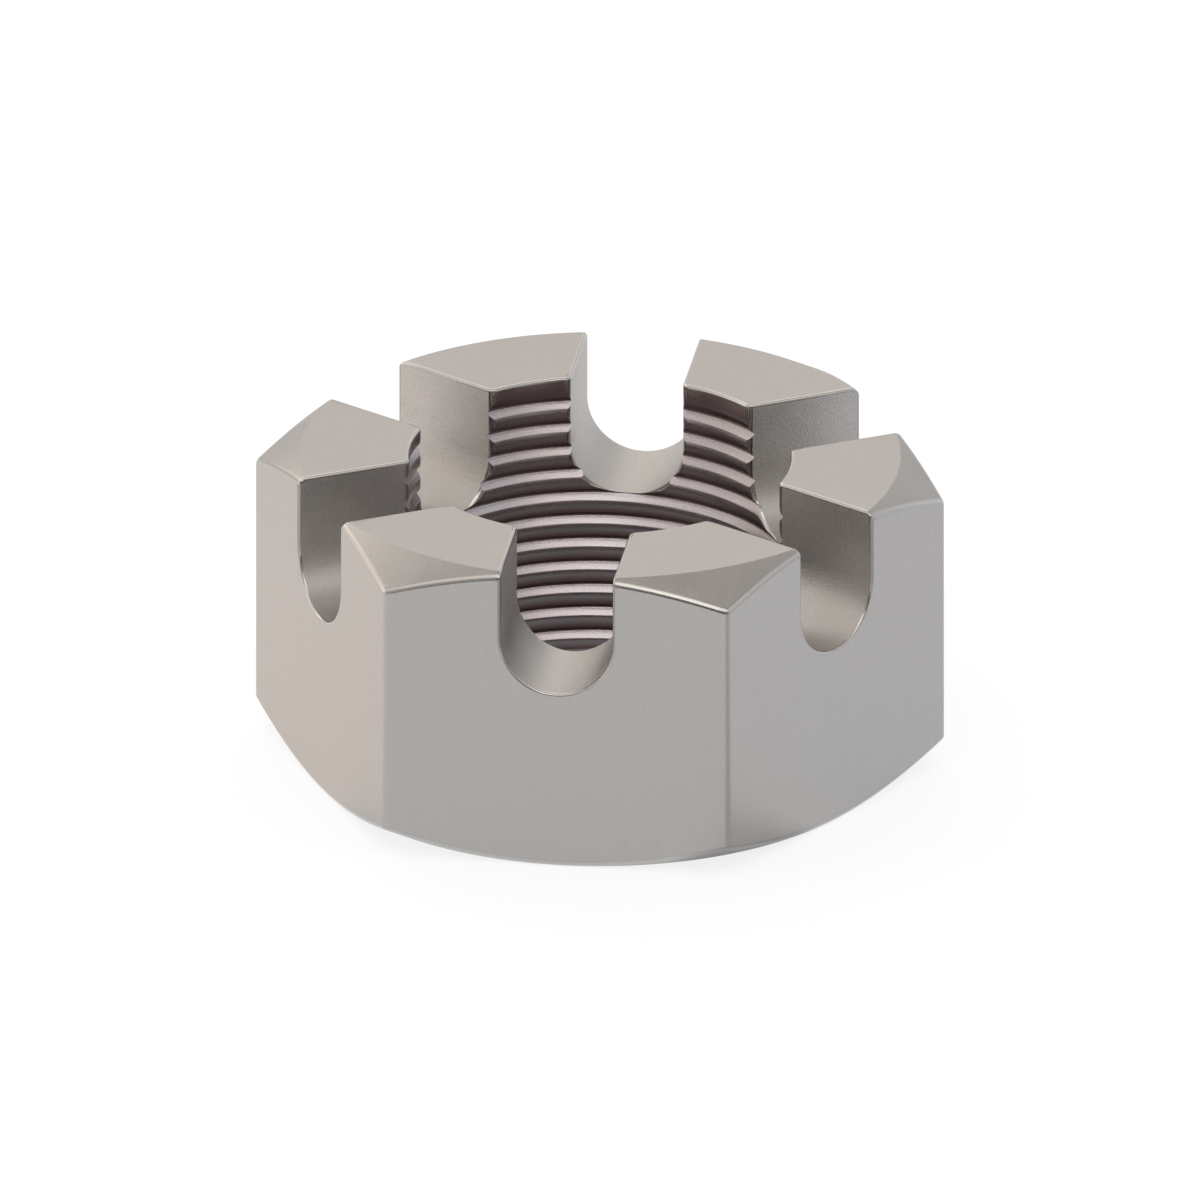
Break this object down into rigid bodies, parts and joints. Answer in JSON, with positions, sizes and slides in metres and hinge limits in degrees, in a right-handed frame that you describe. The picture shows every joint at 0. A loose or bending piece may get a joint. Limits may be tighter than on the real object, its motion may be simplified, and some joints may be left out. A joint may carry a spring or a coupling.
{
  "type": "castle nut",
  "caption": "Hexagon castle nut with a fine-threaded through bore, chamfered ends and a crown cut by round-bottomed slots for a split pin.",
  "frame": {"origin": "centre of the flat bearing face, on the thread's axis", "axes": "+Z along the thread's axis from the bearing face to the slotted crown; flats, each with a slot in its middle, face -Y and +Y; corners of the hexagon point along -X and +X"},
  "size_m": [0.0276, 0.024, 0.0126],
  "materials": {
    "steel": "satin, machined all over, warm grey"
  },
  "bodies": {
    "root": {"castle_nut": "steel"}
  },
  "joints": []
}
